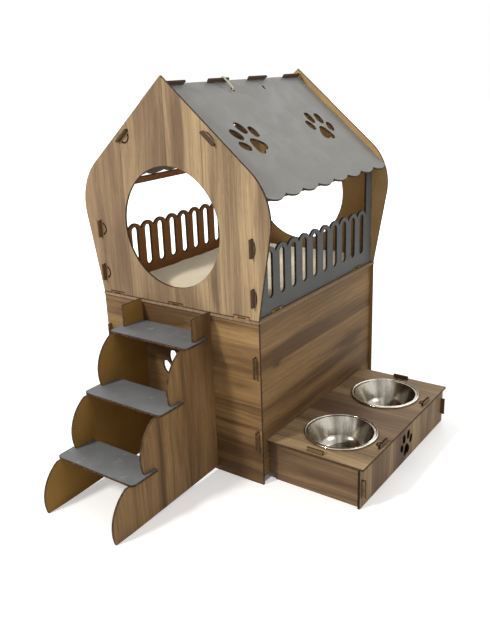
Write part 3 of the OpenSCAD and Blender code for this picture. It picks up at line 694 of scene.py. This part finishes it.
def twisted_tube(path):
    """A closed tube along the path, with the lobes of its twisted strands"""
    made = bmesh.new()
    rings = []
    up = Vector(Y)
    gone = 0.0
    for i, p in enumerate(path):
        ahead = (path[min(i + 1, len(path) - 1)] - path[max(i - 1, 0)]).normalized()
        side = ahead.cross(up).normalized()
        up = side.cross(ahead).normalized()
        if i:
            gone += (p - path[i - 1]).length
        ring = []
        for k in range(CORD_SIDES):
            angle = 2 * math.pi * k / CORD_SIDES
            lobe = abs(math.cos(STRANDS / 2 * (angle - 2 * math.pi * gone / TWIST_PITCH)))
            r = CORD_R * (GROOVE + (1 - GROOVE) * lobe ** FULLNESS)
            ring.append(made.verts.new(p + r * (math.cos(angle) * side + math.sin(angle) * up)))
        rings.append(ring)
    for a, b in zip(rings, rings[1:]):
        for k in range(CORD_SIDES):
            after = (k + 1) % CORD_SIDES
            made.faces.new((a[k], a[after], b[after], b[k]))
    made.faces.new(list(reversed(rings[0])))
    made.faces.new(rings[-1])
    return finished_mesh(made, "tube")


# A knot sits past the end, in line with the path from this many points before it
KNOT_BEYOND = 0.0012
KNOT_AIM = 4
# Its two tilted loops of cord and the core inside them, in metres
LOOP_R = 0.0021
LOOP_CORD_R = 0.00145
LOOP_APART = 0.0009
LOOP_ALONG = 0.75
LOOP_ASIDE = 0.66
LOOP_STEPS = 28
LOOP_SIDES = 12
KNOT_CORE_R = 0.0022
KNOT_VOXEL = 0.00045


def knot_mesh(centre, axis):
    """An overhand knot: two loops of cord drawn tight into one lump"""
    made = bmesh.new()
    along = axis.normalized()
    side = along.cross(Vector(Y)).normalized()
    up = side.cross(along)
    for way in (1, -1):
        axle = (along * LOOP_ALONG + side * way * LOOP_ASIDE).normalized()
        u = axle.cross(up).normalized()
        v = axle.cross(u)
        grid = []
        for i in range(LOOP_STEPS):
            a = 2 * math.pi * i / LOOP_STEPS
            spoke = math.cos(a) * u + math.sin(a) * v
            hub = centre + along * way * LOOP_APART + spoke * LOOP_R
            angles = (2 * math.pi * k / LOOP_SIDES for k in range(LOOP_SIDES))
            grid.append([made.verts.new(hub + LOOP_CORD_R * (math.cos(b) * spoke + math.sin(b) * axle))
                         for b in angles])
        for i in range(LOOP_STEPS):
            here = grid[i]
            there = grid[(i + 1) % LOOP_STEPS]
            for k in range(LOOP_SIDES):
                after = (k + 1) % LOOP_SIDES
                made.faces.new((here[k], there[k], there[after], here[after]))
    bmesh.ops.create_icosphere(made, subdivisions=3, radius=KNOT_CORE_R, matrix=Matrix.Translation(centre))
    lump = bpy.data.objects.new("knot_loops", finished_mesh(made, "knot_loops"))
    scene.collection.objects.link(lump)
    weld = lump.modifiers.new("weld", "REMESH")
    weld.mode = "VOXEL"
    weld.voxel_size = KNOT_VOXEL
    soften = lump.modifiers.new("soften", "SMOOTH")
    soften.iterations = 3
    mesh = settled(lump)
    bpy.data.objects.remove(lump)
    return mesh


COTTON = cord_fibre()
cord_stops = [to_row(x, CORD_Y + dy, RIDGE_Z + dz) for x, dy, dz in CORD_STOPS]
cord_path = smooth_path(cord_stops, POINTS_PER_SPAN)
cord = add_piece("ridge_cord_twist", twisted_tube(cord_path), "house", COTTON)
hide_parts("ridge_cord")
for name, end, before in (("ridge_knot_right", cord_path[0], cord_path[KNOT_AIM]),
                          ("ridge_knot_left", cord_path[-1], cord_path[-1 - KNOT_AIM])):
    away = end - before
    lump = knot_mesh(end + away.normalized() * KNOT_BEYOND, away)
    add_piece(name, lump, "house", COTTON)


PLUSH_PRESSED = srgb(237, 216, 174)
PLUSH_CREAM = srgb(251, 239, 204)
BRUSHING = (24.0, 3.0, 0.55, 0.8)
TUFT = (420.0, 5.0, 0.7, 0.4)
TUFT_SHADE = (0.84, 1.1)
HAIR = (1900.0, 2.0, 0.6)
HAIR_SHADE = (0.92, 1.06)
HAIR_DEPTH = 0.4
PLUSH_BUMP = (0.0016, 0.6)


def plush():
    """Short cream pile: brushed tufts, soft sheen and faint pressed patches"""
    g = Graph("plush_pile")
    tuft = g.noise(g.place, *TUFT)
    hair = g.noise(g.place, *HAIR)
    tone = g.mix(g.noise(g.place, *BRUSHING), PLUSH_PRESSED, PLUSH_CREAM)
    tone = g.shade(tone, tuft, *TUFT_SHADE)
    g.set("Base Color", g.shade(tone, hair, *HAIR_SHADE))
    g.set("Roughness", 0.95)
    g.set("Sheen Weight", 0.6)
    g.set("Sheen Roughness", 0.45)
    g.bump(g.plus(tuft, g.times(hair, HAIR_DEPTH)), *PLUSH_BUMP)
    return g.mat


# The mat starts from a smaller shape, because it swells
MAT_LOW = 0.86
MAT_NARROW = 0.988
MAT_VOXEL = 0.006
MAT_PRESSURE = 4
MAT_STIFF = 12
MAT_STEPS = 20
MAT_CAP = 0.005
# Tufts of the pile: cells per metre and height, which is less on the sides than on top
PILE = ((85, 0.0010), (260, 0.0007))
PILE_ON_SIDES = 0.35


def blow_up(shell, mesh):
    """Moves the mesh to where cloth under pressure would lie, with each point's way capped"""
    start = [v.co.copy() for v in mesh.vertices]
    cloth = shell.modifiers.new("cloth", "CLOTH")
    cloth.collision_settings.use_collision = False
    cloth.settings.quality = 3
    cloth.settings.use_pressure = True
    cloth.settings.uniform_pressure_force = MAT_PRESSURE
    cloth.settings.tension_stiffness = MAT_STIFF
    cloth.settings.compression_stiffness = MAT_STIFF
    cloth.settings.effector_weights.gravity = 0
    cloth.point_cache.frame_start = 1
    cloth.point_cache.frame_end = MAT_STEPS
    for frame_number in range(1, MAT_STEPS + 1):
        scene.frame_set(frame_number)
    blown = settled(shell)
    for v, s, b in zip(mesh.vertices, start, blown.vertices):
        move = b.co - s
        v.co = s + move * min(1.0, MAT_CAP / max(move.length, 1e-9))
    scene.frame_set(1)
    shell.modifiers.clear()
    bpy.data.meshes.remove(blown)


def stuffed_mat():
    """The mat's solid, blown up as cloth over its filling and then brushed into pile"""
    low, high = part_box("floor_mat")
    middle = (low + high) / 2
    shell = bpy.data.objects.new("mat_shell", NODES["floor_mat"].data.copy())
    scene.collection.objects.link(shell)
    for v in shell.data.vertices:
        v.co.z = low.z + (v.co.z - low.z) * MAT_LOW
        v.co.x = middle.x + (v.co.x - middle.x) * MAT_NARROW
        v.co.y = middle.y + (v.co.y - middle.y) * MAT_NARROW
    remesh = shell.modifiers.new("remesh", "REMESH")
    remesh.mode = "VOXEL"
    remesh.voxel_size = MAT_VOXEL
    mesh = settled(shell)
    shell.modifiers.clear()
    shell.data = mesh
    blow_up(shell, mesh)
    fine = shell.modifiers.new("fine", "SUBSURF")
    fine.levels = 1
    made = settled(shell)
    bpy.data.objects.remove(shell)
    made.update()
    normals = [v.normal.copy() for v in made.vertices]
    for v, out in zip(made.vertices, normals):
        lift = sum(noise.noise(v.co * cells) * height for cells, height in PILE)
        v.co += out * lift * (PILE_ON_SIDES + (1 - PILE_ON_SIDES) * max(0.0, out.z))
        v.co.z = max(v.co.z, low.z)
        for k in (0, 1):
            v.co[k] = min(max(v.co[k], low[k]), high[k])
    return made


mat = add_piece("plush_mat", stuffed_mat(), "mat", plush())
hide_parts("floor_mat")


# Stage and light

FLOOR_HALF = 12.0
FLOOR_PALE = (0.86, 0.86, 0.85, 1)
FLOOR_GRIT = (400.0, 2.0)
FLOOR_BUMP = (0.0002, 0.1)
WHITE = (1, 1, 1, 1)
# The floor's own white is at this level near the object, where shadows fall, and full further off
GLOW_NEAR = 0.4
GLOW_RANGE = (0.3, 2.2)
# Floor under the base and the tray: x and y spans in the drawing's metres, left unlit
DARK_SPOTS = (((-0.176, 0.176), (0.002, 0.432)), ((0.172, 0.355), (0.031, 0.39)))
AMBIENT = 0.4


def stage_material():
    """White floor that takes the shadow, and shows as white to the camera and in the metal"""
    g = Graph("stage_white")
    g.set("Base Color", FLOOR_PALE)
    g.set("Roughness", 0.9)
    g.bump(g.noise(g.place, *FLOOR_GRIT), *FLOOR_BUMP)
    g.set("Emission Color", WHITE)
    away = g.new("VectorMath", operation="LENGTH")
    g.put(away.inputs[0], g.place)
    glow = g.times(seen_rays(g.tree), g.step(away.outputs["Value"], *GLOW_RANGE, GLOW_NEAR, 1.0))
    for spans in DARK_SPOTS:
        out = 0.0
        for axis, (low, high), zero in zip((X, Y), spans, HOUSE):
            off = g.off(g.dot(g.place, axis), (low + high) / 2 + zero)
            out = g.math("MAXIMUM", out, g.math("GREATER_THAN", off, (high - low) / 2))
        glow = g.times(glow, out)
    g.set("Emission Strength", glow)
    return g.mat


floor_mesh = bpy.data.meshes.new("stage_floor")
floor_corners = [(x * FLOOR_HALF, y * FLOOR_HALF, 0) for x, y in ((-1, -1), (1, -1), (1, 1), (-1, 1))]
floor_mesh.from_pydata(floor_corners, [], [(0, 1, 2, 3)])
floor_mesh.materials.append(stage_material())
floor = bpy.data.objects.new("stage_floor", floor_mesh)
scene.collection.objects.link(floor)

world = bpy.data.worlds.new("studio")
scene.world = world
world.use_nodes = True
sky = world.node_tree
sky.nodes.clear()
level = sky.nodes.new("ShaderNodeMapRange")
level.inputs["To Min"].default_value = AMBIENT
level.inputs["To Max"].default_value = 1.0
glow = sky.nodes.new("ShaderNodeBackground")
glow.inputs["Color"].default_value = WHITE
sky_out = sky.nodes.new("ShaderNodeOutputWorld")
sky.links.new(seen_rays(sky), level.inputs["Value"])
sky.links.new(level.outputs[0], glow.inputs["Strength"])
sky.links.new(glow.outputs[0], sky_out.inputs["Surface"])

LAMPS_AIM = Vector((-0.05, -0.02, 0.40))
WARM = (1.0, 0.98, 0.95)
PLAIN = (1.0, 1.0, 1.0)
# Place, size across in metres, watts and tint
LAMPS = {
    "key": ((-0.65, -1.83, 1.68), 0.35, 36, WARM),
    "fill": ((2.3, -0.3, 1.9), 1.6, 13, PLAIN),
    "left": ((-2.2, 0.3, 1.7), 1.6, 28, PLAIN),
    "back": ((-0.2, 2.3, 2.0), 1.6, 24, PLAIN),
}
for name, (place, size, watts, tint) in LAMPS.items():
    data = bpy.data.lights.new(name, "AREA")
    data.shape = "DISK"
    data.size = size
    data.energy = watts
    data.color = tint
    lamp = bpy.data.objects.new(name, data)
    lamp.location = place
    lamp.rotation_euler = (LAMPS_AIM - Vector(place)).to_track_quat("-Z", "Y").to_euler()
    scene.collection.objects.link(lamp)

scene.view_settings.view_transform = "Standard"
